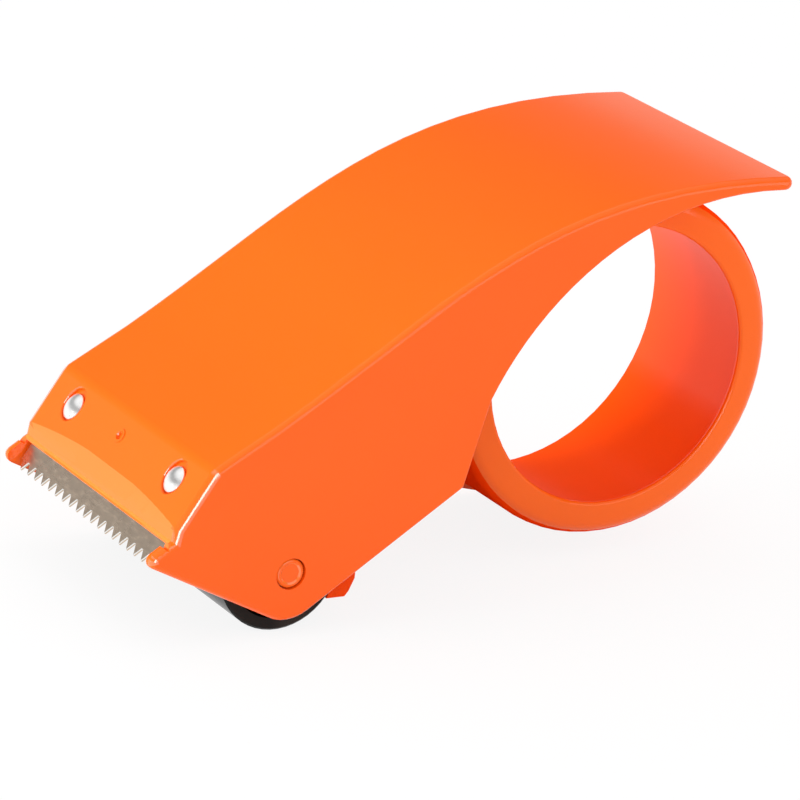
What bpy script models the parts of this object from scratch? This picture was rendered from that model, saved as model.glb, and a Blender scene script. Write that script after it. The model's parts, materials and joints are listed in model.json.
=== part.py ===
"""Hand-held packing tape dispenser: a moulded housing, a finger ring that carries the tape,
a serrated blade under the front pad, a roller and a hanging tape guard."""
import math

import bmesh
import bpy
from mathutils import Matrix, Vector

MM = 0.001

# Whole body. Profiles are in the housing's own frame: X towards the tail, Z up, and the
# origin on the ring's axis, halfway between the side plates
BODY_WIDTH = 66.8 * MM
PLATE_WALL = 2.4 * MM
COVER_WALL = 2.0 * MM
PAD_WALL = 1.65 * MM
EDGE_ROUND = 1.5 * MM
REAR_EDGE_ROUND = 0.6 * MM
SEAT_GAP = 0.3 * MM
RUNNING_GAP = 0.08 * MM
CUT_OVERRUN = 1.0 * MM
CURVE_STEPS = 20
CORNER_STEPS = 6
EDGE_STEPS = 3
SHARP_ANGLE = math.radians(35)

# Cover: one curve from the front bend to the tail
BEND = (-106.5 * MM, 0.1 * MM)
COVER_PULL_FRONT = (-58.3 * MM, 22.6 * MM)
COVER_PULL_REAR = (-39.3 * MM, 51.2 * MM)
TAIL_TOP = (25.3 * MM, 44.7 * MM)
BEND_ROUND = 5.0 * MM
TAIL_ROUND = 1.45 * MM
TAIL_PROUD = 0.05 * MM
TAIL_CORNER = 2.2 * MM
TAIL_STEPS = 8
TAIL_OVERRUN = 5.0 * MM

# Front pad, measured down its slope from the bend and out from its face
PAD_SLOPE = math.radians(54.35)
BAND_START = 13.65 * MM
LIP_REACH = 16.95 * MM
LIP_DROP = 0.8 * MM
BAND_ARCH = 2.7 * MM
BAND_CUT = 0.05 * MM
ARCH_STATIONS = 24

# Wings: the side plates' points on each side of the blade
NOTCH = (-115.0 * MM, -13.5 * MM)
WING_TIP = (-121.5 * MM, -17.3 * MM)
WING_ROUND = 1.6 * MM

# Side plates
LOWER_CORNER = (-89.0 * MM, -35.2 * MM)
LOWER_ROUND = 9.0 * MM
REAR_CORNER = (-49.9 * MM, -11.6 * MM)
REAR_ROUND = 1.2 * MM
KNEE = (-44.4 * MM, 6.2 * MM)
BACK_PULL_LOW = (-34.7 * MM, 24.9 * MM)
BACK_PULL_HIGH = (-12.1 * MM, 45.6 * MM)
BACK_END = (22.6 * MM, 42.35 * MM)
FLANGE_RADIUS = 42.3 * MM
FLANGE_START = math.radians(57)
FLANGE_END = math.radians(-98)
FLANGE_STEPS = 41
TAIL_WEB_INSET = 1.8 * MM
FLANGE_HUMP = (-17.8 * MM, -38.4 * MM)
HUMP_ROUND = 5.0 * MM

# Ring: the hub that a 76 mm tape core slides on, with a lip rolled in at its free end
TAPE_CORE_BORE = 76.0 * MM
CORE_CLEARANCE = 0.1 * MM
RING_LENGTH = 43.4 * MM
RING_FAR_BORE = 36.8 * MM
RING_NEAR_BORE = 36.3 * MM
RING_ROUND = 3.5 * MM
RING_INNER_ROUND = 2.0 * MM
LIP_BORE = 30.25 * MM
LIP_WALL = 1.6 * MM
LIP_CREST = 0.5 * MM
RING_SHOULDER = 1.1 * MM
RING_SHOULDER_WALL = 1.2 * MM
RING_STEPS = 64

# Blade strip, under the pad
TOOTH_COUNT = 19
TOOTH_HEIGHT = 2.0 * MM
TOOTH_TIP_FLAT = 0.16 * MM
TOOTH_ROOT_FLAT = 0.5 * MM
BLADE_REACH = 22.75 * MM
BLADE_BACK = 1.6 * MM
BLADE_WALL = 0.5 * MM
BLADE_END_GAP = 0.8 * MM

# Rivets that clamp the blade, and the wells their heads sit in
RIVET_MARGIN = 11.2 * MM
RIVET_PLACE = 5.85 * MM
RIVET_HEAD = 2.85 * MM
RIVET_HEAD_EDGE = 0.3 * MM
RIVET_DOME = 1.1 * MM
RIVET_SHANK = 1.4 * MM
RIVET_TAIL = 2.3 * MM
RIVET_TAIL_WALL = 0.6 * MM
RIVET_STEPS = 24
WELL_WIDTH = 3.2 * MM
WELL_LENGTH = 3.7 * MM
WELL_MOUTH = 0.6 * MM
MOUTH_SHARE = 0.8
WELL_SHIFT = 0.45 * MM
WELL_DEPTH = 0.85 * MM
DIMPLE_PLACE = 5.1 * MM
DIMPLE_ACROSS = 1.6 * MM
DIMPLE_RING = 1.7 * MM
DIMPLE_PIT = 1.3 * MM
DIMPLE_HEIGHT = 0.22 * MM
DIMPLE_DEPTH = 0.5 * MM

# Roller: a hollow tube on two bushes
ROLLER_AXIS = (-88.7 * MM, -24.05 * MM)
ROLLER_RADIUS = 13.45 * MM
ROLLER_WALL = 2.6 * MM
ROLLER_END_GAP = 1.8 * MM
ROLLER_CHAMFER = 0.4 * MM
ROLLER_STEPS = 48
BUSH_STEPS = 32
BUSH_INSET = 5.0 * MM
BUSH_LENGTH = 9.0 * MM
BUSH_RIM = 1.2 * MM
BUSH_WEB = 1.4 * MM
BUSH_HUB = 4.6 * MM

# Roller axle, with a head flush in the near plate
AXLE_RADIUS = 2.5 * MM
AXLE_HEAD = 3.0 * MM
AXLE_HEAD_DISH = 0.35 * MM
AXLE_HEAD_RIM = 0.7 * MM
AXLE_SINK = 0.15 * MM
AXLE_STEPS = 32
SEAT_BOSS_RADIUS = 4.8 * MM
SEAT_BOSS_HEIGHT = 1.2 * MM
HUB_END_GAP = 0.4 * MM

# Tape guard: a bar on a web that hangs behind the roller
GUARD_PIVOT = (-72.2 * MM, -20.0 * MM)
GUARD_BARREL = 1.9 * MM
GUARD_END_GAP = 4.3 * MM
GUARD_WEB_FRONT = (-73.6 * MM, -24.0 * MM)
GUARD_WEB_REAR = (-71.3 * MM, -24.0 * MM)
GUARD_BAR = [(-74.3 * MM, -28.8 * MM), (-75.9 * MM, -32.0 * MM), (-76.6 * MM, -33.7 * MM),
             (-72.5 * MM, -33.9 * MM), (-71.6 * MM, -32.9 * MM), (-70.3 * MM, -30.3 * MM),
             (-70.1 * MM, -27.6 * MM)]
TRUNNION_RADIUS = 1.3 * MM
TRUNNION_DEPTH = 1.0 * MM
SOCKET_DEPTH = 1.3 * MM
PIN_STEPS = 20

ORANGE = (1.0, 0.15, 0.012)
RED_ORANGE = (1.0, 0.09, 0.01)
STEEL = (0.42, 0.39, 0.34)
BRIGHT_STEEL = (0.80, 0.80, 0.80)
BLACK = (0.012, 0.012, 0.014)
DARK_GREY = (0.03, 0.03, 0.032)

HALF_WIDTH = BODY_WIDTH / 2
PLATE_INNER = HALF_WIDTH - PLATE_WALL
HUB_RADIUS = TAPE_CORE_BORE / 2 - CORE_CLEARANCE
RING_FRONT = HALF_WIDTH - RING_LENGTH
BLADE_HALF = PLATE_INNER - BLADE_END_GAP
TOOTH_PITCH = BLADE_HALF * 2 / TOOTH_COUNT
ROLLER_HALF = PLATE_INNER - ROLLER_END_GAP
GUARD_HALF = PLATE_INNER - GUARD_END_GAP
ROLLER_DISTANCE = math.hypot(*ROLLER_AXIS)
REST_TILT = (math.asin((FLANGE_RADIUS - ROLLER_RADIUS) / ROLLER_DISTANCE)
             - math.atan2(-ROLLER_AXIS[1], -ROLLER_AXIS[0]))


def clear_scene():
    for item in list(bpy.data.objects):
        bpy.data.objects.remove(item, do_unlink=True)


def material(name, color, roughness, metallic=0.0):
    made = bpy.data.materials.new(name)
    made.use_nodes = True
    shader = made.node_tree.nodes["Principled BSDF"]
    shader.inputs["Base Color"].default_value = (*color, 1.0)
    shader.inputs["Roughness"].default_value = roughness
    shader.inputs["Metallic"].default_value = metallic
    return made


def add_object(name, mesh, collection, parent):
    made = bpy.data.objects.new(name, mesh)
    collection.objects.link(made)
    made.parent = parent
    return made


def finish_mesh(name, bm):
    bmesh.ops.recalc_face_normals(bm, faces=bm.faces)
    mesh = bpy.data.meshes.new(name)
    bm.to_mesh(mesh)
    bm.free()
    return mesh


def arc(centre, radius, start, end, steps):
    points = []
    for i in range(steps + 1):
        angle = start + (end - start) * i / steps
        points.append((centre[0] + radius * math.cos(angle), centre[1] + radius * math.sin(angle)))
    return points


def bezier(first, pull_first, pull_last, last, steps):
    points = []
    for i in range(steps + 1):
        t = i / steps
        shares = ((1 - t) ** 3, 3 * t * (1 - t) ** 2, 3 * t * t * (1 - t), t ** 3)
        corners = (first, pull_first, pull_last, last)
        points.append(tuple(sum(s * c[k] for s, c in zip(shares, corners)) for k in (0, 1)))
    return points


def round_corner(before, corner, after, radius, steps=CORNER_STEPS):
    """Arc of the given radius that is tangent to both lines of a corner."""
    corner = Vector(corner)
    back = (Vector(before) - corner).normalized()
    ahead = (Vector(after) - corner).normalized()
    half = back.angle(ahead) / 2
    centre = corner + (back + ahead).normalized() * (radius / math.sin(half))
    reach = radius / math.tan(half)
    start = corner + back * reach - centre
    turn = start.angle_signed(corner + ahead * reach - centre)
    points = []
    for i in range(steps + 1):
        share = Matrix.Rotation(-turn * i / steps, 2)
        points.append(tuple(centre + share @ start))
    return points


def offset_curve(points, distance):
    """Moves each point of an open curve to its right by the distance."""
    moved = []
    for i, point in enumerate(points):
        before = points[max(i - 1, 0)]
        after = points[min(i + 1, len(points) - 1)]
        run = (Vector(after) - Vector(before)).normalized()
        moved.append((point[0] + run.y * distance, point[1] - run.x * distance))
    return moved


def pad_point(down, out):
    """Place on the front pad: down its slope from the bend, and out from its face."""
    slope_cos, slope_sin = math.cos(PAD_SLOPE), math.sin(PAD_SLOPE)
    return (BEND[0] - slope_cos * down - slope_sin * out, BEND[1] - slope_sin * down + slope_cos * out)


def prism(outline, low, high, soft=False):
    """Solid between two Y values with an XZ outline. Soft ends are marked for rounding."""
    bm = bmesh.new()
    ring = [bm.verts.new((x, low, z)) for x, z in outline]
    cap = bm.faces.new(ring)
    grown = bmesh.ops.extrude_face_region(bm, geom=[cap])
    for vert in (g for g in grown["geom"] if isinstance(g, bmesh.types.BMVert)):
        vert.co.y = high
    if soft:
        weights = bm.edges.layers.float.new("bevel_weight_edge")
        for edge in bm.edges:
            if edge.verts[0].co.y == edge.verts[1].co.y:
                edge[weights] = 1.0
    return bm


def cylinder_along_y(place, radius, low, high, steps):
    bm = bmesh.new()
    turn = Matrix.Rotation(math.radians(90), 4, "X")
    centre = Matrix.Translation((place[0], (low + high) / 2, place[1]))
    bmesh.ops.create_cone(bm, cap_ends=True, segments=steps, radius1=radius, radius2=radius,
                          depth=high - low, matrix=centre @ turn)
    return bm


def turned(name, profile, steps, collection, parent, closed=True):
    """Profile of radius and height turned about the object's own Z axis."""
    mesh = bpy.data.meshes.new(name)
    verts = [(radius, 0, height) for radius, height in profile]
    edges = [(i, i + 1) for i in range(len(verts) - 1)]
    if closed:
        edges.append((len(verts) - 1, 0))
    mesh.from_pydata(verts, edges, [])
    made = add_object(name, mesh, collection, parent)
    screw = made.modifiers.new("turn", "SCREW")
    screw.steps = steps
    screw.render_steps = steps
    screw.use_merge_vertices = True
    screw.merge_threshold = 0.00001
    screw.use_smooth_shade = True
    return made


def along_y(item, place, middle=0):
    """Lays a turned piece's axis along Y, with its heights counted from the near side to the far."""
    item.rotation_euler = (math.radians(-90), 0, 0)
    item.location = (place[0], middle, place[1])


def boolean(target, cutter, operation="DIFFERENCE"):
    step = target.modifiers.new(cutter.name, "BOOLEAN")
    step.operation = operation
    step.solver = "EXACT"
    step.object = cutter


def shading_group():
    """Node group that shades a finished mesh smooth, with its steep edges sharp."""
    group = bpy.data.node_groups.new("shade_by_angle", "GeometryNodeTree")
    group.interface.new_socket("Geometry", in_out="INPUT", socket_type="NodeSocketGeometry")
    group.interface.new_socket("Geometry", in_out="OUTPUT", socket_type="NodeSocketGeometry")
    nodes, links = group.nodes, group.links
    source = nodes.new("NodeGroupInput")
    result = nodes.new("NodeGroupOutput")
    faces = nodes.new("GeometryNodeSetShadeSmooth")
    edges = nodes.new("GeometryNodeSetShadeSmooth")
    edges.domain = "EDGE"
    angle = nodes.new("GeometryNodeInputMeshEdgeAngle")
    steep = nodes.new("FunctionNodeCompare")
    steep.operation = "LESS_EQUAL"
    steep.inputs["B"].default_value = SHARP_ANGLE
    links.new(source.outputs[0], faces.inputs["Geometry"])
    links.new(angle.outputs["Unsigned Angle"], steep.inputs["A"])
    links.new(faces.outputs["Geometry"], edges.inputs["Geometry"])
    links.new(steep.outputs["Result"], edges.inputs["Shade Smooth"])
    links.new(edges.outputs["Geometry"], result.inputs[0])
    return group


def shade(item, group):
    """Smooth shading that keeps wide flat faces flat."""
    step = item.modifiers.new("shade_by_angle", "NODES")
    step.node_group = group
    weighted = item.modifiers.new("flat_faces", "WEIGHTED_NORMAL")
    weighted.keep_sharp = True
    weighted.weight = 100


class Workshop:
    """Collections and the parent empties that the pieces are placed in."""

    def __init__(self):
        scene = bpy.context.scene.collection
        self.parts = bpy.data.collections.new("packing_tape_dispenser")
        self.tools = bpy.data.collections.new("cutters")
        scene.children.link(self.parts)
        scene.children.link(self.tools)
        self.body = self.empty("body_frame", None)
        self.body.location.z = FLANGE_RADIUS
        self.body.rotation_euler.y = -REST_TILT
        self.pad = self.empty("pad_frame", self.body)
        self.pad.location = (BEND[0], 0, BEND[1])
        self.pad.rotation_euler.y = -PAD_SLOPE
        self.tail = self.empty("tail_frame", self.body)
        self.tail.location = (TAIL_TOP[0], 0, TAIL_TOP[1])
        self.tail.rotation_euler.y = -math.atan2(cover_end().y, cover_end().x)
        self.roller = self.empty("roller_axis", self.body)
        self.roller.location = (ROLLER_AXIS[0], 0, ROLLER_AXIS[1])

    def empty(self, name, parent):
        made = bpy.data.objects.new(name, None)
        self.parts.objects.link(made)
        made.parent = parent
        return made

    def part(self, name, bm, parent=None):
        return add_object(name, finish_mesh(name, bm), self.parts, parent or self.body)

    def cutter(self, name, bm, parent=None):
        made = add_object(name, finish_mesh(name, bm), self.tools, parent or self.body)
        made.hide_render = True
        made.display_type = "WIRE"
        return made


def cover_curve():
    return bezier(BEND, COVER_PULL_FRONT, COVER_PULL_REAR, TAIL_TOP, CURVE_STEPS)


def front_outline():
    """From the lower corner's start round the wing, up the pad and over the bend."""
    band_top = pad_point(BAND_START, 0)
    cover = cover_curve()
    wing = round_corner(LOWER_CORNER, WING_TIP, NOTCH, WING_ROUND)
    bend = round_corner(band_top, BEND, cover[2], BEND_ROUND)
    return wing, [NOTCH, band_top], bend


def cover_end():
    """The cover's direction of run at its tail."""
    cover = cover_curve()
    return (Vector(cover[-1]) - Vector(cover[-2])).normalized()


def block_outline():
    """Side view of the far plate, the largest outline, with its tail left long for the tail's cut."""
    wing, notch, bend = front_outline()
    cover = cover_curve()[2:]
    long_tail = tuple(Vector(TAIL_TOP) + cover_end() * TAIL_OVERRUN)
    flange = arc((0, 0), FLANGE_RADIUS, FLANGE_START, FLANGE_END, FLANGE_STEPS)
    hump = round_corner(flange[-1], FLANGE_HUMP, LOWER_CORNER, HUMP_ROUND)
    lower = round_corner(FLANGE_HUMP, LOWER_CORNER, WING_TIP, LOWER_ROUND)
    return wing + notch + bend + cover + [long_tail] + flange + hump + lower


def web_cut_outline():
    """Trims the far plate to a web below the tail's nose."""
    run = cover_end()
    down = Vector((run.y, -run.x))
    # The cut is a little above the nose's lowest line, so that it crosses the nose at an angle
    level = Vector(TAIL_TOP) + down * (2 * TAIL_ROUND - 2 * TAIL_PROUD)
    web_top = level - run * (TAIL_ROUND + TAIL_WEB_INSET)
    past_tail = level + run * TAIL_OVERRUN * 2
    foot_radius = FLANGE_RADIUS - SEAT_GAP
    web_foot = (foot_radius * math.cos(FLANGE_START), foot_radius * math.sin(FLANGE_START))
    return [web_foot, tuple(web_top), tuple(past_tail), (past_tail.x, web_foot[1])]


def tail_cutter(workshop):
    """Everything past the tail's half-round nose, which turns both corners of the tail."""
    middle = TAIL_PROUD - TAIL_ROUND
    levels = [(TAIL_OVERRUN, TAIL_ROUND)]
    for i in range(TAIL_STEPS + 1):
        angle = math.pi / 2 - math.pi * i / TAIL_STEPS
        levels.append((middle + TAIL_ROUND * math.sin(angle), TAIL_ROUND * (1 - math.cos(angle))))
    levels.append((-TAIL_OVERRUN, TAIL_ROUND))
    across = HALF_WIDTH - TAIL_CORNER
    wide = HALF_WIDTH + CUT_OVERRUN
    sides = [(-TAIL_CORNER, wide), (TAIL_OVERRUN * 2, wide), (TAIL_OVERRUN * 2, -wide), (-TAIL_CORNER, -wide)]
    bm = bmesh.new()
    rows = []
    for z, inset in levels:
        near = arc((-TAIL_CORNER, -across), TAIL_CORNER - inset, -math.pi / 2, 0, CORNER_STEPS)
        far = arc((-TAIL_CORNER, across), TAIL_CORNER - inset, 0, math.pi / 2, CORNER_STEPS)
        rows.append([bm.verts.new((x, y, z)) for x, y in near + far + sides])
    loft(bm, rows)
    return workshop.cutter("cut_tail", bm, workshop.tail)


def near_cut_outline(inset):
    """Everything behind and below the near plate, reaching in by the inset past the plate's edge."""
    lower = round_corner(WING_TIP, LOWER_CORNER, REAR_CORNER, LOWER_ROUND)
    run_in = Vector(lower[0]) + (Vector(lower[0]) - Vector(lower[1])) * 4
    rear = round_corner(LOWER_CORNER, REAR_CORNER, KNEE, REAR_ROUND)
    back = bezier(KNEE, BACK_PULL_LOW, BACK_PULL_HIGH, BACK_END, CURVE_STEPS)
    run = (Vector(back[-1]) - Vector(back[-2])).normalized()
    past_tail = Vector(back[-1]) + run * (TAIL_TOP[0] - BACK_END[0] + TAIL_OVERRUN)
    edge = offset_curve([tuple(run_in)] + lower[1:] + rear + back + [tuple(past_tail)], -inset)
    right = FLANGE_RADIUS + TAIL_OVERRUN
    below = -FLANGE_RADIUS - CUT_OVERRUN
    return edge + [(right, edge[-1][1]), (right, below), (edge[0][0], below)]


def near_cutter(workshop):
    """Trims the near plate, and rounds its outer edge by reaching in further near its outer face."""
    outer = -HALF_WIDTH
    levels = [(outer - CUT_OVERRUN, REAR_EDGE_ROUND)]
    for i in range(EDGE_STEPS + 1):
        angle = math.pi / 2 * i / EDGE_STEPS
        depth = REAR_EDGE_ROUND * (1 - math.cos(angle))
        levels.append((outer + depth, REAR_EDGE_ROUND * (1 - math.sin(angle))))
    levels.append((-PLATE_INNER + CUT_OVERRUN / 2, 0))
    bm = bmesh.new()
    rows = [[bm.verts.new((x, y, z)) for x, z in near_cut_outline(inset)] for y, inset in levels]
    loft(bm, rows)
    return workshop.cutter("cut_near_side", bm)


def cavity_outline():
    """The space under the cover and in front of it, between the plates."""
    inner = offset_curve(cover_curve(), COVER_WALL)
    run = (Vector(inner[-1]) - Vector(inner[-2])).normalized()
    past_tail = Vector(inner[-1]) + run * TAIL_OVERRUN * 2
    lip_in = pad_point(LIP_REACH, -PAD_WALL)
    lip_out = pad_point(LIP_REACH, CUT_OVERRUN * 3)
    # The pad's underside and the cover's meet where the two offset lines cross
    joint = pad_point(COVER_WALL, -PAD_WALL)
    front = WING_TIP[0] - CUT_OVERRUN
    below = -FLANGE_RADIUS - CUT_OVERRUN
    right = FLANGE_RADIUS + CUT_OVERRUN
    return ([(front, lip_out[1]), lip_out, lip_in, joint] + inner[2:]
            + [tuple(past_tail), (right, past_tail.y), (right, below), (front, below)])


def loft(bm, rows):
    """Joins rows of matching points into one closed body."""
    for row, after in zip(rows, rows[1:]):
        for k in range(len(row)):
            beside = (k + 1) % len(row)
            bm.faces.new((row[k], row[beside], after[beside], after[k]))
    bm.faces.new(rows[0])
    bm.faces.new(rows[-1])


def arch_cutter(workshop):
    """Loft that bevels the pad above the lip, with an arched upper edge."""
    bm = bmesh.new()
    rows = []
    reach = HALF_WIDTH + CUT_OVERRUN
    for i in range(ARCH_STATIONS + 1):
        y = reach * (2 * i / ARCH_STATIONS - 1)
        top = BAND_START - BAND_ARCH * (1 - (y / HALF_WIDTH) ** 2)
        fall = (LIP_DROP + BAND_CUT) / (LIP_REACH - top)
        start = top - CUT_OVERRUN
        end = LIP_REACH + CUT_OVERRUN
        corners = [(start, fall * CUT_OVERRUN), (end, -fall * (end - top)),
                   (end, LIP_DROP + CUT_OVERRUN), (start, LIP_DROP + CUT_OVERRUN)]
        rows.append([bm.verts.new((-down, y, out)) for down, out in corners])
    loft(bm, rows)
    return workshop.cutter("cut_band", bm, workshop.pad)


def pad_cylinder(down, across, radius, deep):
    """Round cutter that stands on the pad's face and reaches into it."""
    bm = bmesh.new()
    place = Matrix.Translation((-down, across, (CUT_OVERRUN - deep) / 2))
    bmesh.ops.create_cone(bm, cap_ends=True, segments=RIVET_STEPS, radius1=radius, radius2=radius,
                          depth=CUT_OVERRUN + deep, matrix=place)
    return bm


def pad_turned(workshop, name, profile, down, across, stretch=1.0):
    """Turned cutter on the pad's face, longer down the slope by the stretch."""
    made = turned(name, profile, RIVET_STEPS, workshop.tools, workshop.pad, closed=False)
    made.hide_render = True
    made.display_type = "WIRE"
    made.location = (-down, across, 0)
    made.scale.x = stretch
    return made


def cut_well(workshop, housing, side, across):
    """Oblong well with a soft mouth round a rivet's head."""
    top = WELL_WIDTH + WELL_MOUTH
    # The mouth's arc ends above the pad, so that it crosses the pad's face at an angle
    mouth = arc((top, -WELL_MOUTH * MOUTH_SHARE), WELL_MOUTH, math.pi / 2, math.pi, EDGE_STEPS)
    floor = [(WELL_WIDTH, -WELL_DEPTH), (0, -WELL_DEPTH)]
    profile = [(0, CUT_OVERRUN), (top, CUT_OVERRUN)] + mouth + floor
    place = RIVET_PLACE - WELL_SHIFT
    stretch = WELL_LENGTH / WELL_WIDTH
    boolean(housing, pad_turned(workshop, "cut_well_" + side, profile, place, across, stretch))


def add_dimple(workshop, housing):
    """Low ring with a pit, where the mould was filled."""
    ring = [(0, DIMPLE_HEIGHT), (DIMPLE_RING - DIMPLE_HEIGHT, DIMPLE_HEIGHT), (DIMPLE_RING, -PAD_WALL / 2),
            (0, -PAD_WALL / 2)]
    boolean(housing, pad_turned(workshop, "dimple_ring", ring, DIMPLE_PLACE, DIMPLE_ACROSS), "UNION")
    pit = [(0, CUT_OVERRUN), (DIMPLE_PIT, CUT_OVERRUN), (DIMPLE_PIT / 2, -DIMPLE_DEPTH), (0, -DIMPLE_DEPTH)]
    cutter = pad_turned(workshop, "cut_dimple", pit, DIMPLE_PLACE, DIMPLE_ACROSS)
    # Half a step round, so that its edges cross the ring's between their corners
    cutter.rotation_euler.z = math.pi / RIVET_STEPS
    boolean(housing, cutter)


def rivet_places():
    return {"near": RIVET_MARGIN - HALF_WIDTH, "far": HALF_WIDTH - RIVET_MARGIN}


def build_housing(workshop):
    housing = workshop.part("housing", prism(block_outline(), -HALF_WIDTH, HALF_WIDTH, soft=True))
    edges = housing.modifiers.new("round_edges", "BEVEL")
    edges.limit_method = "WEIGHT"
    edges.width = EDGE_ROUND
    edges.segments = EDGE_STEPS
    edges.use_clamp_overlap = False
    cavity = prism(cavity_outline(), -PLATE_INNER, PLATE_INNER)
    boolean(housing, workshop.cutter("cut_cavity", cavity))
    boolean(housing, near_cutter(workshop))
    boolean(housing, tail_cutter(workshop))
    web = prism(web_cut_outline(), -HALF_WIDTH - CUT_OVERRUN, HALF_WIDTH + CUT_OVERRUN)
    boolean(housing, workshop.cutter("cut_tail_web", web))
    boolean(housing, arch_cutter(workshop))
    bore = cylinder_along_y((0, 0), HUB_RADIUS + SEAT_GAP, PLATE_INNER - CUT_OVERRUN,
                            HALF_WIDTH + CUT_OVERRUN, RING_STEPS)
    boolean(housing, workshop.cutter("cut_ring_seat", bore))
    for side, across in rivet_places().items():
        cut_well(workshop, housing, side, across)
        hole = pad_cylinder(RIVET_PLACE, across, RIVET_SHANK + SEAT_GAP, PAD_WALL + CUT_OVERRUN)
        boolean(housing, workshop.cutter("cut_rivet_" + side, hole, workshop.pad))
    add_dimple(workshop, housing)
    add_seats(workshop, housing)
    return housing


def add_seats(workshop, housing):
    """Bosses and holes for the axle, and blind sockets for the guard's trunnions."""
    for side, sign in (("near", -1), ("far", 1)):
        inner = sign * (PLATE_INNER - SEAT_BOSS_HEIGHT)
        root = sign * (PLATE_INNER + PLATE_WALL / 2)
        boss = cylinder_along_y(ROLLER_AXIS, SEAT_BOSS_RADIUS, min(inner, root), max(inner, root), AXLE_STEPS)
        boolean(housing, workshop.cutter("boss_" + side, boss), "UNION")
        outer = sign * (HALF_WIDTH + CUT_OVERRUN)
        past = sign * (PLATE_INNER - SEAT_BOSS_HEIGHT - CUT_OVERRUN)
        bore = cylinder_along_y(ROLLER_AXIS, AXLE_RADIUS + SEAT_GAP, min(past, outer), max(past, outer),
                                AXLE_STEPS)
        boolean(housing, workshop.cutter("cut_axle_" + side, bore))
        mouth = sign * (PLATE_INNER - CUT_OVERRUN)
        floor = sign * (PLATE_INNER + SOCKET_DEPTH)
        socket = cylinder_along_y(GUARD_PIVOT, TRUNNION_RADIUS + RUNNING_GAP, min(mouth, floor),
                                  max(mouth, floor), PIN_STEPS)
        boolean(housing, workshop.cutter("cut_socket_" + side, socket))
    head = cylinder_along_y(ROLLER_AXIS, AXLE_HEAD + SEAT_GAP, -HALF_WIDTH - CUT_OVERRUN, -PLATE_INNER,
                            AXLE_STEPS)
    boolean(housing, workshop.cutter("cut_axle_head", head))


def build_ring(workshop):
    """Thin hub whose free end rolls in to a broad lip; its far end seats in the far plate."""
    front = RING_FRONT
    lip_front = front - LIP_CREST
    lip_round = LIP_WALL / 2
    face_out = (HUB_RADIUS - RING_ROUND, front)
    outer = [(HUB_RADIUS, HALF_WIDTH), (HUB_RADIUS, PLATE_INNER - SEAT_GAP)]
    shoulder = HUB_RADIUS + RING_SHOULDER
    outer += [(shoulder, PLATE_INNER - SEAT_GAP), (shoulder, PLATE_INNER - SEAT_GAP - RING_SHOULDER_WALL),
              (HUB_RADIUS, PLATE_INNER - SEAT_GAP - RING_SHOULDER_WALL)]
    roll = arc((face_out[0], front + RING_ROUND), RING_ROUND, 0, -math.pi / 2, CORNER_STEPS)
    edge = arc((LIP_BORE + lip_round, lip_front + lip_round), lip_round, -math.pi / 2,
               -math.pi * 1.5, CORNER_STEPS)
    corner = (RING_NEAR_BORE, front + LIP_WALL)
    inner = round_corner(edge[-1], corner, (RING_FAR_BORE, HALF_WIDTH), RING_INNER_ROUND)
    profile = outer + roll + edge + inner + [(RING_FAR_BORE, HALF_WIDTH)]
    ring = turned("tape_ring", profile, RING_STEPS, workshop.parts, workshop.body)
    along_y(ring, (0, 0))
    return ring


def build_blade(workshop):
    """Steel strip with a row of teeth, flat against the pad's underside."""
    half = BLADE_HALF
    root = BLADE_REACH - TOOTH_HEIGHT
    bm = bmesh.new()
    outline = [(-BLADE_BACK, -half), (-root, -half)]
    for i in range(TOOTH_COUNT):
        middle = -half + TOOTH_PITCH * (i + 0.5)
        outline.append((-root, middle - TOOTH_PITCH / 2 + TOOTH_ROOT_FLAT / 2))
        outline.append((-BLADE_REACH, middle - TOOTH_TIP_FLAT / 2))
        outline.append((-BLADE_REACH, middle + TOOTH_TIP_FLAT / 2))
        outline.append((-root, middle + TOOTH_PITCH / 2 - TOOTH_ROOT_FLAT / 2))
    outline += [(-root, half), (-BLADE_BACK, half)]
    top = -PAD_WALL - SEAT_GAP
    cap = bm.faces.new([bm.verts.new((x, y, top)) for x, y in outline])
    grown = bmesh.ops.extrude_face_region(bm, geom=[cap])
    for vert in (g for g in grown["geom"] if isinstance(g, bmesh.types.BMVert)):
        vert.co.z = top - BLADE_WALL
    blade = workshop.part("blade", bm, workshop.pad)
    for side, across in rivet_places().items():
        hole = pad_cylinder(RIVET_PLACE, across, RIVET_SHANK + SEAT_GAP,
                            PAD_WALL + SEAT_GAP + BLADE_WALL + CUT_OVERRUN)
        boolean(blade, workshop.cutter("cut_blade_" + side, hole, workshop.pad))
    return blade


def build_rivets(workshop):
    head_low = -WELL_DEPTH + SEAT_GAP
    head_edge = head_low + RIVET_HEAD_EDGE
    dome_radius = (RIVET_HEAD ** 2 + RIVET_DOME ** 2) / (2 * RIVET_DOME)
    sweep = math.asin(RIVET_HEAD / dome_radius)
    dome = arc((0, head_edge + RIVET_DOME - dome_radius), dome_radius, math.pi / 2,
               math.pi / 2 - sweep, CORNER_STEPS)
    tail_top = -PAD_WALL - SEAT_GAP - BLADE_WALL - SEAT_GAP
    profile = dome + [(RIVET_HEAD, head_low), (RIVET_SHANK, head_low), (RIVET_SHANK, tail_top),
                      (RIVET_TAIL, tail_top), (RIVET_TAIL, tail_top - RIVET_TAIL_WALL),
                      (0, tail_top - RIVET_TAIL_WALL)]
    made = []
    for side, across in rivet_places().items():
        rivet = turned("rivet_" + side, profile, RIVET_STEPS, workshop.parts, workshop.pad, closed=False)
        rivet.location = (-RIVET_PLACE, across, 0)
        made.append(rivet)
    return made


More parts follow.
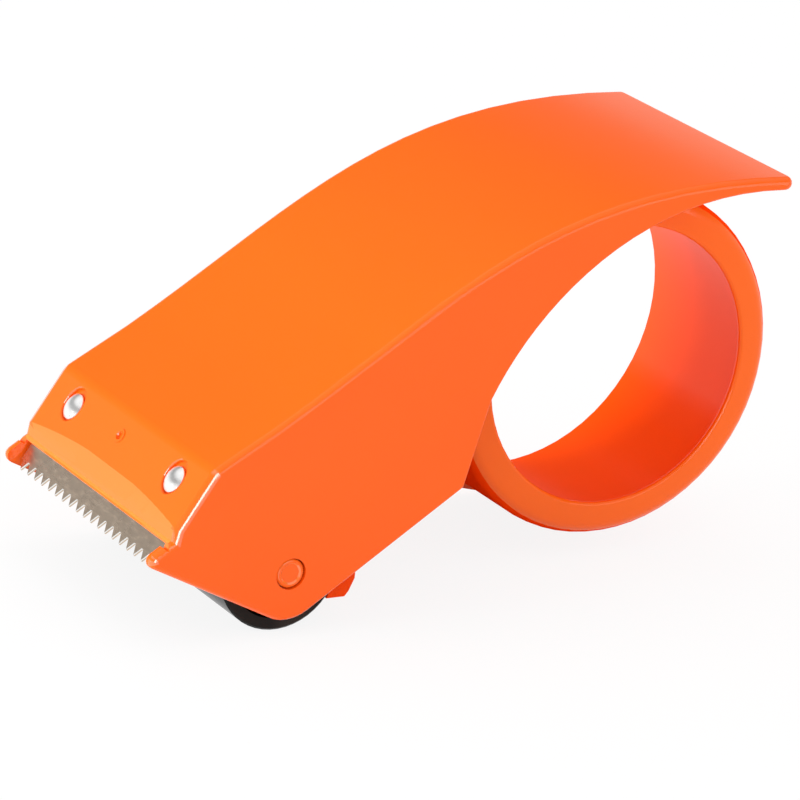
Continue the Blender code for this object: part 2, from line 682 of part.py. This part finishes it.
def build_roller(workshop):
    half = ROLLER_HALF
    inner = ROLLER_RADIUS - ROLLER_WALL
    chamfer = ROLLER_CHAMFER
    profile = [(ROLLER_RADIUS - chamfer, half), (ROLLER_RADIUS, half - chamfer),
               (ROLLER_RADIUS, -half + chamfer), (ROLLER_RADIUS - chamfer, -half),
               (inner, -half), (inner, half)]
    tube = turned("roller_tube", profile, ROLLER_STEPS, workshop.parts, workshop.roller)
    along_y(tube, (0, 0))
    return tube


def build_bushes(workshop):
    """Two webbed bushes pressed into the tube, running on the axle."""
    rim = ROLLER_RADIUS - ROLLER_WALL - SEAT_GAP
    bore = AXLE_RADIUS + RUNNING_GAP
    outer_end = ROLLER_HALF - BUSH_INSET
    inner_end = outer_end - BUSH_LENGTH
    hub_end = PLATE_INNER - SEAT_BOSS_HEIGHT - HUB_END_GAP
    web_out = outer_end - BUSH_LENGTH / 2 + BUSH_WEB / 2
    web_in = web_out - BUSH_WEB
    profile = [(bore, hub_end), (BUSH_HUB, hub_end), (BUSH_HUB, web_out), (rim - BUSH_RIM, web_out),
               (rim - BUSH_RIM, outer_end), (rim, outer_end), (rim, inner_end),
               (rim - BUSH_RIM, inner_end), (rim - BUSH_RIM, web_in), (BUSH_HUB, web_in),
               (BUSH_HUB, inner_end), (bore, inner_end)]
    made = []
    for side, turn in (("near", math.radians(90)), ("far", math.radians(-90))):
        bush = turned("roller_bush_" + side, profile, BUSH_STEPS, workshop.parts, workshop.roller)
        bush.rotation_euler = (turn, 0, 0)
        made.append(bush)
    return made


def build_axle(workshop):
    """Plain axle with a dished head, flush in the near plate."""
    face = HALF_WIDTH - AXLE_SINK
    seat = PLATE_INNER + SEAT_GAP
    dish = AXLE_HEAD - AXLE_HEAD_RIM
    profile = [(0, face), (AXLE_RADIUS - AXLE_HEAD_DISH, face), (AXLE_RADIUS, face - AXLE_HEAD_DISH),
               (AXLE_RADIUS, -seat), (AXLE_HEAD, -seat), (AXLE_HEAD, -face + AXLE_HEAD_DISH),
               (AXLE_HEAD - AXLE_HEAD_DISH, -face), (dish, -face),
               (dish - AXLE_HEAD_DISH, -face + AXLE_HEAD_DISH), (0, -face + AXLE_HEAD_DISH)]
    axle = turned("roller_axle", profile, AXLE_STEPS, workshop.parts, workshop.body, closed=False)
    along_y(axle, ROLLER_AXIS)
    return axle


def build_guard(workshop):
    """Guard hung on trunnions: a barrel, a web and a solid bar."""
    place = Vector((GUARD_PIVOT[0], 0, GUARD_PIVOT[1]))
    front = Vector(GUARD_WEB_FRONT) - Vector(GUARD_PIVOT)
    rear = Vector(GUARD_WEB_REAR) - Vector(GUARD_PIVOT)
    start = math.atan2(rear.y, rear.x)
    end = math.atan2(front.y, front.x) + math.tau
    barrel = arc(GUARD_PIVOT, GUARD_BARREL, start, end, CORNER_STEPS * 3)
    outline = barrel + [GUARD_WEB_FRONT] + GUARD_BAR + [GUARD_WEB_REAR]
    local = [(x - place.x, z - place.z) for x, z in outline]
    half = GUARD_HALF
    guard = workshop.part("tape_guard", prism(local, -half, half))
    guard.location = place
    reach = PLATE_INNER + TRUNNION_DEPTH
    pin = cylinder_along_y((0, 0), TRUNNION_RADIUS, -reach, reach, PIN_STEPS)
    boolean(guard, workshop.cutter("guard_trunnions", pin, guard), "UNION")
    return guard


def centre_on_origin(workshop, pieces):
    """Moves the body so that the bounding box's bottom centre is the origin."""
    bpy.context.view_layer.update()
    graph = bpy.context.evaluated_depsgraph_get()
    corners = []
    for piece in pieces:
        evaluated = piece.evaluated_get(graph)
        mesh = evaluated.to_mesh()
        corners += [evaluated.matrix_world @ v.co for v in mesh.vertices]
        evaluated.to_mesh_clear()
    xs = [c.x for c in corners]
    workshop.body.location.x -= (min(xs) + max(xs)) / 2
    workshop.body.location.z -= min(c.z for c in corners)
    bpy.context.view_layer.update()


def main():
    clear_scene()
    workshop = Workshop()
    housing = build_housing(workshop)
    ring = build_ring(workshop)
    blade = build_blade(workshop)
    rivets = build_rivets(workshop)
    tube = build_roller(workshop)
    bushes = build_bushes(workshop)
    axle = build_axle(workshop)
    guard = build_guard(workshop)
    looks = {housing: ("housing_orange", ORANGE, 0.28, 0.0), ring: ("ring_orange", ORANGE, 0.25, 0.0),
             blade: ("blade_steel", STEEL, 0.38, 1.0), tube: ("roller_black", BLACK, 0.3, 0.0),
             axle: ("axle_orange", ORANGE, 0.3, 0.0), guard: ("guard_orange", RED_ORANGE, 0.35, 0.0)}
    for rivet in rivets:
        looks[rivet] = (rivet.name + "_steel", BRIGHT_STEEL, 0.15, 1.0)
    for bush in bushes:
        looks[bush] = (bush.name + "_grey", DARK_GREY, 0.5, 0.0)
    group = shading_group()
    for piece, look in looks.items():
        piece.data.materials.append(material(*look))
        shade(piece, group)
    centre_on_origin(workshop, list(looks))


main()
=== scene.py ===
"""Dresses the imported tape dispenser: smooth pieces, procedural materials, studio light and the camera."""
import json
import math

import bmesh
import bpy
from mathutils import Matrix, Vector


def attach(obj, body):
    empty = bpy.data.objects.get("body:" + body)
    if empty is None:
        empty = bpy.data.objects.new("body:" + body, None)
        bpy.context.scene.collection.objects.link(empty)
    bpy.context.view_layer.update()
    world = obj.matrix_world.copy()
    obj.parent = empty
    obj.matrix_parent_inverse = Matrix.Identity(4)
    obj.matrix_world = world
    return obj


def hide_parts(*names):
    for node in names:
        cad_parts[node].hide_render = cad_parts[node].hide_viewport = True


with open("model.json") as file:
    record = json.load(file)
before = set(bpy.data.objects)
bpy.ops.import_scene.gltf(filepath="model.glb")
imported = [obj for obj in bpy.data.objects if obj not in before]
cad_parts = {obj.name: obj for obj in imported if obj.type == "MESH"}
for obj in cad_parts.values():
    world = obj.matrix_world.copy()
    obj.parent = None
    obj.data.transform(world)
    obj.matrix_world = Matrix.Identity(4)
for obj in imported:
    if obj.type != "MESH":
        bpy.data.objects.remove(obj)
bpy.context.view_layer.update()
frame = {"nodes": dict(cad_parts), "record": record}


# Material nodes

def new_material(name):
    made = bpy.data.materials.new(name)
    made.use_nodes = True
    nodes = made.node_tree.nodes
    return made, nodes, made.node_tree.links, nodes["Principled BSDF"]


def noise(nodes, links, scale, detail, stretch=None):
    """Noise in the object's own coordinates, which are metres."""
    place = nodes.new("ShaderNodeTexCoord")
    source = place.outputs["Object"]
    if stretch:
        mapping = nodes.new("ShaderNodeMapping")
        mapping.inputs["Scale"].default_value = stretch
        links.new(source, mapping.inputs["Vector"])
        source = mapping.outputs["Vector"]
    made = nodes.new("ShaderNodeTexNoise")
    made.inputs["Scale"].default_value = scale
    made.inputs["Detail"].default_value = detail
    links.new(source, made.inputs["Vector"])
    return made.outputs["Fac"]


def ramp(nodes, links, source, stops):
    made = nodes.new("ShaderNodeValToRGB")
    made.color_ramp.elements[0].position = stops[0][0]
    made.color_ramp.elements[0].color = stops[0][1]
    made.color_ramp.elements[1].position = stops[-1][0]
    made.color_ramp.elements[1].color = stops[-1][1]
    for place, color in stops[1:-1]:
        made.color_ramp.elements.new(place).color = color
    links.new(source, made.inputs["Fac"])
    return made.outputs["Color"]


def tinted(color, share=1.0):
    """The colour times the share, opaque and no brighter than white."""
    return (*(min(channel * share, 1.0) for channel in color), 1.0)


def spread(nodes, links, source, low, high):
    made = nodes.new("ShaderNodeMapRange")
    made.inputs["To Min"].default_value = low
    made.inputs["To Max"].default_value = high
    links.new(source, made.inputs["Value"])
    return made.outputs["Result"]


def bump(nodes, links, source, depth):
    made = nodes.new("ShaderNodeBump")
    made.inputs["Strength"].default_value = 1.0
    made.inputs["Distance"].default_value = depth
    links.new(source, made.inputs["Height"])
    return made.outputs["Normal"]


def plastic(name, color, roughness, gloss, polish=0.0):
    """Moulded gloss plastic: faint flow marks in colour and gloss, and a fine orange peel."""
    made, nodes, links, shader = new_material(name)
    flow = noise(nodes, links, scale=22.0, detail=2.0, stretch=(1.0, 0.35, 1.6))
    tones = [(0.3, tinted(color, 0.965)), (0.7, tinted(color, 1.03))]
    links.new(ramp(nodes, links, flow, tones), shader.inputs["Base Color"])
    grain = noise(nodes, links, scale=260.0, detail=2.0)
    links.new(spread(nodes, links, grain, roughness * 0.85, roughness * 1.2), shader.inputs["Roughness"])
    peel = noise(nodes, links, scale=700.0, detail=2.0)
    links.new(bump(nodes, links, peel, depth=0.000008), shader.inputs["Normal"])
    shader.inputs["Specular IOR Level"].default_value = gloss
    shader.inputs["Coat Weight"].default_value = polish
    shader.inputs["Coat Roughness"].default_value = roughness
    return made


def rolled_steel(name, color, roughness):
    """Cold-rolled strip: a fine grain along the blade, smears and a few bright flecks."""
    made, nodes, links, shader = new_material(name)
    lines = noise(nodes, links, scale=420.0, detail=6.0, stretch=(3.0, 1.0, 3.0))
    tones = [(0.3, tinted(color, 0.9)), (0.55, tinted(color)), (0.8, tinted(color, 1.3))]
    links.new(ramp(nodes, links, lines, tones), shader.inputs["Base Color"])
    smear = noise(nodes, links, scale=130.0, detail=4.0)
    links.new(spread(nodes, links, smear, roughness * 0.8, roughness * 1.3), shader.inputs["Roughness"])
    links.new(bump(nodes, links, lines, depth=0.00002), shader.inputs["Normal"])
    shader.inputs["Metallic"].default_value = 1.0
    return made


def bright_metal(name, color, roughness, metal=1.0):
    """Plated or ground metal with a faint tool texture."""
    made, nodes, links, shader = new_material(name)
    marks = noise(nodes, links, scale=900.0, detail=4.0)
    tones = [(0.3, tinted(color, 0.9)), (0.7, tinted(color))]
    links.new(ramp(nodes, links, marks, tones), shader.inputs["Base Color"])
    links.new(spread(nodes, links, marks, roughness * 0.7, roughness * 1.4), shader.inputs["Roughness"])
    links.new(bump(nodes, links, marks, depth=0.000015), shader.inputs["Normal"])
    shader.inputs["Metallic"].default_value = metal
    return made


def black_tube(name, color, roughness, gloss):
    """Satin black tube with rubbed patches and fine rings from turning."""
    made, nodes, links, shader = new_material(name)
    rub = noise(nodes, links, scale=90.0, detail=5.0)
    tones = [(0.4, tinted(color)), (0.75, tinted(color, 3.2))]
    links.new(ramp(nodes, links, rub, tones), shader.inputs["Base Color"])
    links.new(spread(nodes, links, rub, roughness * 0.8, roughness * 1.35), shader.inputs["Roughness"])
    rings = noise(nodes, links, scale=500.0, detail=2.0, stretch=(0.2, 4.0, 0.2))
    links.new(bump(nodes, links, rings, depth=0.00002), shader.inputs["Normal"])
    shader.inputs["Specular IOR Level"].default_value = gloss
    return made


# Materials, with their colours as linear values

ORANGE = plastic("moulded_orange", (1.0, 0.121, 0.006), roughness=0.14, gloss=0.24)
# Painted light: the band is coloured paler than the moulding, for the light it catches.
BAND_PAINTED_LIGHT = plastic("band_painted_light", (1.0, 0.17, 0.016), roughness=0.14, gloss=0.36)
# Painted glow: the lip is coloured paler and yellower still, for the light along its edge.
LIP_PAINTED_GLOW = plastic("lip_painted_glow", (1.0, 0.27, 0.045), roughness=0.14, gloss=0.36)
PAD_EDGE = plastic("pad_edge_orange", (1.0, 0.125, 0.005), roughness=0.1, gloss=1.0, polish=1.0)
# Painted shade: the ring is coloured redder than the housing's orange, for the deep red of light bounced
# inside it.
RING_PAINTED_SHADE = plastic("ring_orange", (1.0, 0.098, 0.002), roughness=0.07, gloss=0.23)
# Painted light: the ring's lip is coloured paler, for the light it catches.
RING_LIP_PAINTED_LIGHT = plastic("ring_lip_painted_light", (1.0, 0.138, 0.005), roughness=0.1, gloss=0.23)
# Painted shade: the ring's outer side is coloured redder still, for the shade between the plates.
RING_OUTSIDE_PAINTED_SHADE = plastic("ring_outside_painted_shade", (1.0, 0.055, 0.001), roughness=0.5, gloss=0.0)
# Painted shade: the guard is coloured redder than the housing's orange, for the shade it sits in.
GUARD_PAINTED_SHADE = plastic("guard_orange", (1.0, 0.07, 0.002), roughness=0.3, gloss=0.06)
AXLE = plastic("axle_orange", (1.0, 0.125, 0.006), roughness=0.14, gloss=0.27)
# Painted highlight: the axle head's rim is coloured paler than the orange, besides being glossier.
AXLE_RIM_PAINTED_HIGHLIGHT = plastic("axle_rim_painted_highlight", (1.0, 0.19, 0.016), roughness=0.1, gloss=0.8, polish=1.0)
STEEL = rolled_steel("strip_steel", (0.66, 0.53, 0.41), roughness=0.26)
GROUND = bright_metal("ground_edge", (0.92, 0.92, 0.90), roughness=0.3)
CHROME = bright_metal("plated_rivet", (0.93, 0.93, 0.92), roughness=0.3, metal=0.85)
BLACK = black_tube("satin_black", (0.005, 0.0045, 0.004), roughness=0.22, gloss=0.14)
TUBE_END = black_tube("sawn_black", (0.014, 0.010, 0.008), roughness=0.4, gloss=0.1)
# Painted shade: the bushes are coloured near black, so that the hollow inside the tube reads dark.
BUSH_PAINTED_SHADE = black_tube("bush_painted_shade", (0.004, 0.004, 0.004), roughness=0.5, gloss=0.05)


# Directions once the dispenser rests on its roller and ring

ACROSS = Vector((0, 1, 0))
RESTING_TILT = math.radians(-3.1252)
PAD_NORMAL = Matrix.Rotation(RESTING_TILT, 3, "Y") @ Vector((-0.81259, 0, 0.58284))
PAD_DOWN = PAD_NORMAL.cross(ACROSS).normalized()


# Smoothing, with lengths in metres and turns in degrees

WELD_GAP = 0.000002
FLAT_TURN = 0.5
SHARP_TURN = 34
FLAT_FACE_WEIGHT = 90


def body_of(node):
    return next(b for b, nodes in frame["record"]["behaviour"]["bodies"].items() if node in nodes)


def clean_mesh(node):
    """The node's mesh with its flat faces joined up."""
    bm = bmesh.new()
    bm.from_mesh(frame["nodes"][node].data)
    bmesh.ops.remove_doubles(bm, verts=bm.verts, dist=WELD_GAP)
    bmesh.ops.dissolve_limit(bm, angle_limit=math.radians(FLAT_TURN), verts=bm.verts, edges=bm.edges)
    for face in bm.faces:
        face.smooth = True
    return bm


def mark_sharp(bm):
    for edge in bm.edges:
        if len(edge.link_faces) == 2 and edge.calc_face_angle(0.0) > math.radians(SHARP_TURN):
            edge.smooth = False


def place_piece(node, bm, materials):
    mesh = bpy.data.meshes.new("smooth_" + node)
    bm.to_mesh(mesh)
    bm.free()
    for material in materials:
        mesh.materials.append(material)
    piece = bpy.data.objects.new("smooth_" + node, mesh)
    bpy.context.scene.collection.objects.link(piece)
    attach(piece, body_of(node))
    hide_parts(node)
    return piece


def flatten(piece):
    """Wide faces keep their own normal, so that only the rounds look round."""
    step = piece.modifiers.new("flat_faces", "WEIGHTED_NORMAL")
    step.keep_sharp = True
    step.weight = FLAT_FACE_WEIGHT


def smooth_piece(node, *materials, chosen=None):
    """A smooth-shaded piece. Where given, chosen says which of the materials a face takes, by its number."""
    bm = clean_mesh(node)
    mark_sharp(bm)
    if chosen:
        for face in bm.faces:
            face.material_index = chosen(face)
    flatten(place_piece(node, bm, materials))


# Housing. Its band is the bevelled strip between the pad and the blade. Turns are in degrees, lengths
# in metres, and what is called sideways, down, lean or facing is a part of a face's unit normal.

BAND_CREASE = 6.5, 20
CREASE_FACING = 0.94
BAND_TURN = 6.5, 100
BAND_MARGIN = 0.001
BAND_HALF = 0.0309
BAND_SIDEWAYS = 0.3
LIP_LEAN = -0.2
PAD_ROUND_SIDEWAYS = 0.2, 0.97
PAD_ROUND_DOWN = -0.3, 0.9
PAD_ROUND_FACING = 0.3


def mark_band(bm):
    """Keeps the arched line between the pad and its band crisp."""
    for edge in bm.edges:
        if len(edge.link_faces) != 2:
            continue
        turn = math.degrees(edge.calc_face_angle(0.0))
        facing = min(face.normal.dot(PAD_NORMAL) for face in edge.link_faces)
        if BAND_CREASE[0] < turn < BAND_CREASE[1] and facing > CREASE_FACING:
            edge.smooth = False


def on_pad_edge(face):
    """Whether a face belongs to the round between the pad or its band and a side."""
    upright = Vector((face.normal.x, 0, face.normal.z)).normalized()
    leans = PAD_ROUND_DOWN[0] < upright.dot(PAD_DOWN) < PAD_ROUND_DOWN[1]
    faces_out = upright.dot(PAD_NORMAL) > PAD_ROUND_FACING
    return PAD_ROUND_SIDEWAYS[0] < abs(face.normal.y) < PAD_ROUND_SIDEWAYS[1] and leans and faces_out


def on_band(face, band_start):
    """Whether a face belongs to the band or to the lip below it."""
    turn = math.degrees(face.normal.angle(PAD_NORMAL, math.pi))
    middle = face.calc_center_median()
    below = middle.dot(PAD_DOWN) > band_start and abs(middle.y) < BAND_HALF
    return below and BAND_TURN[0] < turn < BAND_TURN[1] and abs(face.normal.y) < BAND_SIDEWAYS


def housing_piece():
    """The moulding, whose band, lip and pad rounds have materials of their own. The band and the lip below
    it take paler copies of the orange as painted light.
    """
    bm = clean_mesh("housing")
    mark_sharp(bm)
    mark_band(bm)
    rivet = frame["nodes"]["rivet_near"].data.vertices
    band_start = max(vert.co.dot(PAD_DOWN) for vert in rivet) + BAND_MARGIN
    for face in bm.faces:
        # Band and lip faces take the painted-light copies of the orange.
        if on_band(face, band_start):
            face.material_index = 3 if face.normal.dot(PAD_DOWN) < LIP_LEAN else 1
        elif on_pad_edge(face):
            face.material_index = 2
    flatten(place_piece("housing", bm, [ORANGE, BAND_PAINTED_LIGHT, PAD_EDGE, LIP_PAINTED_GLOW]))


# Blade, whose teeth are ground on their outer side

TOOTH_HEIGHT = 0.002
TOOTH_MARGIN = 1.01
FACE_MARGIN = 0.0001
GROUND_WIDTH = 0.00024


def blade_piece():
    """The strip with a ground bevel on the outer side of every tooth."""
    bm = clean_mesh("blade")
    reach = max(vert.co.dot(PAD_DOWN) for vert in bm.verts)
    outer = max(vert.co.dot(PAD_NORMAL) for vert in bm.verts)
    weights = bm.edges.layers.float.new("bevel_weight_edge")
    for edge in bm.edges:
        on_face = all(outer - vert.co.dot(PAD_NORMAL) < FACE_MARGIN for vert in edge.verts)
        on_tooth = all(reach - vert.co.dot(PAD_DOWN) < TOOTH_HEIGHT * TOOTH_MARGIN for vert in edge.verts)
        if on_face and on_tooth:
            edge[weights] = 1.0
    for face in bm.faces:
        face.smooth = False
    piece = place_piece("blade", bm, [STEEL, GROUND])
    bevel = piece.modifiers.new("ground_teeth", "BEVEL")
    bevel.limit_method = "WEIGHT"
    bevel.width = GROUND_WIDTH
    bevel.segments = 1
    bevel.material = 1


# Parts of the unit normals of the faces of ring, tube and axle that take a material of their own

OUTSIDE_FACING = 0.7
RING_LIP_SIDEWAYS = -0.35
TUBE_END_SIDEWAYS = 0.9
AXLE_ROUND_SIDEWAYS = 0.15, 0.97


def ring_piece():
    """The finger ring, coloured redder than the housing as painted shade. Its outer side takes a still
    redder, dull copy as painted shade, and its rolled lip a paler copy as painted light.
    """
    rim = [vert.co for vert in frame["nodes"]["tape_ring"].data.vertices]
    low = Vector(min(place[i] for place in rim) for i in range(3))
    high = Vector(max(place[i] for place in rim) for i in range(3))
    middle = (low + high) / 2

    def chosen(face):
        out = face.calc_center_median() - middle
        out.y = 0
        if face.normal.dot(out.normalized()) > OUTSIDE_FACING:
            return 1
        return 2 if face.normal.y < RING_LIP_SIDEWAYS else 0

    smooth_piece("tape_ring", RING_PAINTED_SHADE, RING_OUTSIDE_PAINTED_SHADE, RING_LIP_PAINTED_LIGHT, chosen=chosen)


def is_tube_end(face):
    return int(abs(face.normal.y) > TUBE_END_SIDEWAYS)


# The axle's rounds take the paler, painted-highlight copy of the orange.
def is_axle_round(face):
    return int(AXLE_ROUND_SIDEWAYS[0] < abs(face.normal.y) < AXLE_ROUND_SIDEWAYS[1])


housing_piece()
blade_piece()
ring_piece()
smooth_piece("rivet_near", CHROME)
smooth_piece("rivet_far", CHROME)
smooth_piece("roller_tube", BLACK, TUBE_END, chosen=is_tube_end)
smooth_piece("roller_bush_near", BUSH_PAINTED_SHADE)
smooth_piece("roller_bush_far", BUSH_PAINTED_SHADE)
smooth_piece("roller_axle", AXLE, AXLE_RIM_PAINTED_HIGHLIGHT, chosen=is_axle_round)
smooth_piece("tape_guard", GUARD_PAINTED_SHADE)


# Camera, which was fitted to the photograph with the roller's axis at FITTED_ROLLER

FITTED_ROLLER = Vector((-0.0490365, 0.0, 0.0134315))
ROLLER_PLACE = Vector(next(j["pos_m"] for j in frame["record"]["behaviour"]["joints"]
                           if j["name"] == "roller_spin"))
CAMERA_PLACE = Vector((-0.52484, -0.83898, 0.36206)) + ROLLER_PLACE - FITTED_ROLLER
CAMERA_AHEAD = Vector((0.49820, 0.80783, -0.31490))
CAMERA_RIGHT = Vector((0.86344, -0.49539, 0.09516))
CAMERA_SENSOR = 36.0
CAMERA_LENS = 227.77
CAMERA_REACH = 20.0


def make_camera():
    lens = bpy.data.cameras.new("photo_camera")
    lens.sensor_width = CAMERA_SENSOR
    lens.lens = CAMERA_LENS
    lens.clip_end = CAMERA_REACH
    camera = bpy.data.objects.new("photo_camera", lens)
    bpy.context.scene.collection.objects.link(camera)
    back = -CAMERA_AHEAD.normalized()
    right = (CAMERA_RIGHT - back * CAMERA_RIGHT.dot(back)).normalized()
    up = back.cross(right)
    turn = Matrix((right, up, back)).transposed().to_4x4()
    camera.matrix_world = Matrix.Translation(CAMERA_PLACE) @ turn
    bpy.context.scene.camera = camera


# Studio

WHITE = (1, 1, 1, 1)
WORLD_LEVEL = 1.04
# How white gloss sees the studio at the sine of each height above the horizon
STUDIO_WHITE = [(0.17, 1.0), (0.24, 0.55), (0.32, 0.22), (0.49, 0.09), (0.60, 0.10), (0.74, 1.0)]
FLOOR_COLOR = (0.9, 0.9, 0.9, 1)
FLOOR_REACH = 6.0
FLOOR_GAP = 0.0004
FLOOR_WHITE_SHARE = 0.88
LAMP_TARGET = Vector((0, 0, 0.045))


def softbox(name, place, size, power, diffuse=True, glossy=True):
    """Area lamp. Lamps for highlights alone, or for plain fill alone, turn one of the two off."""
    lamp = bpy.data.lights.new(name, "AREA")
    lamp.shape = "RECTANGLE"
    lamp.size, lamp.size_y = size
    lamp.energy = power
    made = bpy.data.objects.new(name, lamp)
    bpy.context.scene.collection.objects.link(made)
    made.location = place
    made.rotation_euler = (LAMP_TARGET - Vector(place)).to_track_quat("-Z", "Y").to_euler()
    made.visible_diffuse = diffuse
    made.visible_glossy = glossy


def either_ray(nodes, links, first, second):
    """One for rays of the two kinds named, and zero for all others."""
    rays = nodes.new("ShaderNodeLightPath")
    seen = nodes.new("ShaderNodeMath")
    seen.operation = "MAXIMUM"
    links.new(rays.outputs[first], seen.inputs[0])
    links.new(rays.outputs[second], seen.inputs[1])
    return seen.outputs[0]


def blend(nodes, links, share, first, second):
    """Mixes two numbers, each a socket or a plain value, by the share."""
    made = nodes.new("ShaderNodeMix")
    for name, value in (("Factor", share), ("A", first), ("B", second)):
        if isinstance(value, float):
            made.inputs[name].default_value = value
        else:
            links.new(value, made.inputs[name])
    return made.outputs["Result"]


def mix_shaders(nodes, links, share, first, second):
    made = nodes.new("ShaderNodeMixShader")
    links.new(share, made.inputs["Fac"])
    links.new(first, made.inputs[1])
    links.new(second, made.inputs[2])
    return made.outputs["Shader"]


def make_world():
    """White to the camera. Gloss sees it white at the horizon and overhead, and dim in between."""
    world = bpy.data.worlds.new("white_studio")
    bpy.context.scene.world = world
    world.use_nodes = True
    nodes, links = world.node_tree.nodes, world.node_tree.links
    back = nodes["Background"]
    back.inputs["Color"].default_value = WHITE
    ahead = nodes.new("ShaderNodeTexCoord")
    height = nodes.new("ShaderNodeSeparateXYZ")
    links.new(ahead.outputs["Generated"], height.inputs["Vector"])
    stops = [(place, (white, white, white, 1.0)) for place, white in STUDIO_WHITE]
    sky = ramp(nodes, links, height.outputs["Z"], stops)
    rays = nodes.new("ShaderNodeLightPath")
    lit = blend(nodes, links, rays.outputs["Is Glossy Ray"], WORLD_LEVEL, sky)
    seen = either_ray(nodes, links, "Is Camera Ray", "Is Transmission Ray")
    links.new(blend(nodes, links, seen, lit, 1.0), back.inputs["Strength"])


def floor_material():
    """Pale and dull, mostly white to the camera and to gloss, and clear from below."""
    made, nodes, links, shader = new_material("white_floor")
    shader.inputs["Base Color"].default_value = FLOOR_COLOR
    shader.inputs["Roughness"].default_value = 0.8
    shader.inputs["Specular IOR Level"].default_value = 0.1
    glow = nodes.new("ShaderNodeEmission")
    glow.inputs["Color"].default_value = WHITE
    glow.inputs["Strength"].default_value = 1.0
    share = nodes.new("ShaderNodeMath")
    share.operation = "MULTIPLY"
    share.inputs[1].default_value = FLOOR_WHITE_SHARE
    links.new(either_ray(nodes, links, "Is Camera Ray", "Is Glossy Ray"), share.inputs[0])
    top = mix_shaders(nodes, links, share.outputs[0], shader.outputs["BSDF"], glow.outputs["Emission"])
    side = nodes.new("ShaderNodeNewGeometry")
    clear = nodes.new("ShaderNodeBsdfTransparent")
    both = mix_shaders(nodes, links, side.outputs["Backfacing"], top, clear.outputs["BSDF"])
    links.new(both, nodes["Material Output"].inputs["Surface"])
    return made


def make_floor():
    """Keeps the shadow, and lets the underside be seen from below."""
    bm = bmesh.new()
    bmesh.ops.create_grid(bm, x_segments=1, y_segments=1, size=FLOOR_REACH)
    mesh = bpy.data.meshes.new("studio_floor")
    bm.to_mesh(mesh)
    bm.free()
    mesh.materials.append(floor_material())
    floor = bpy.data.objects.new("studio_floor", mesh)
    floor.location.z = -FLOOR_GAP
    bpy.context.scene.collection.objects.link(floor)


make_camera()
make_world()
make_floor()
softbox("top_box", place=(0.1, 0.1, 1.2), size=(0.7, 0.6), power=1.0, glossy=False)
softbox("front_box", place=(-1.2, 0.1, 0.14), size=(0.6, 0.24), power=13.5, glossy=False)
softbox("edge_glow", place=(0.35, -1.15, 0.40), size=(1.4, 0.65), power=8.0, diffuse=False)
softbox("pad_edge_glow", place=(-0.6, -1.15, 0.42), size=(0.6, 0.9), power=11.0, diffuse=False)
bpy.context.scene.view_settings.view_transform = "Standard"
